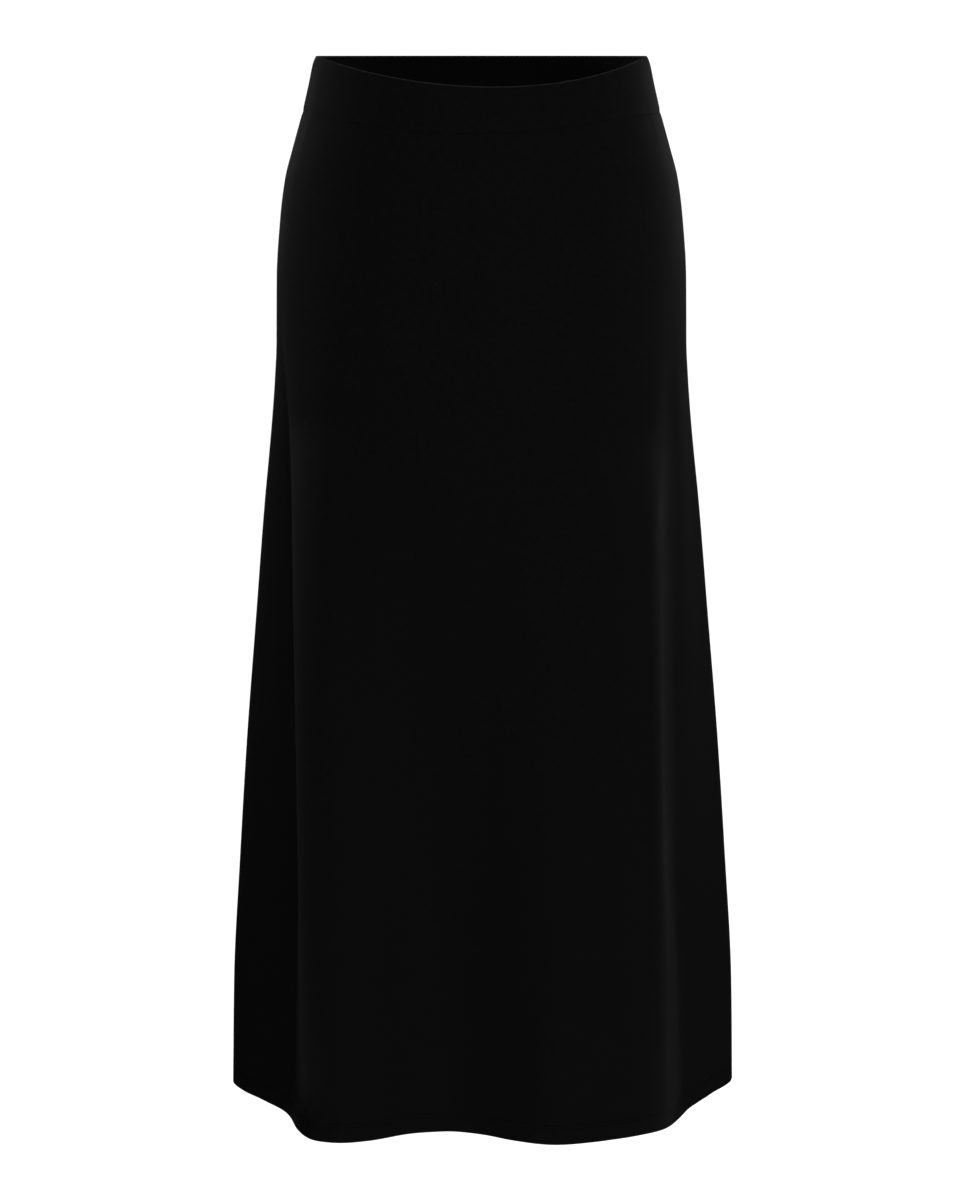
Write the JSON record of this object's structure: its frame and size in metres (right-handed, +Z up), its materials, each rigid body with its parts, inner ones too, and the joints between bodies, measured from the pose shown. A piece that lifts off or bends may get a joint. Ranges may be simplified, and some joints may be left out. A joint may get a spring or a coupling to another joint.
{
  "type": "midi skirt",
  "caption": "Pull-on A-line midi skirt in matt jersey with a waistband and a turned-up hem, worn and filled out as a hollow tube that is open at waist and hem.",
  "frame": {"origin": "the middle of the waist ring, half way down the waistband at its sides, where the wearer holds the skirt up", "axes": "+Z up along the skirt's length towards the waist; -Y is the front; +X is on the right of someone who faces the front"},
  "size_m": [0.434, 0.3028, 0.8794],
  "materials": {
    "front_panel": "matt black jersey",
    "back_panel": "matt black jersey",
    "front_waistband": "matt black jersey, double, over elastic",
    "back_waistband": "matt black jersey, double, over elastic"
  },
  "bodies": {
    "root": {"front_panel": "front_panel", "back_panel": "back_panel", "front_waistband": "front_waistband", "back_waistband": "back_waistband"}
  },
  "joints": []
}
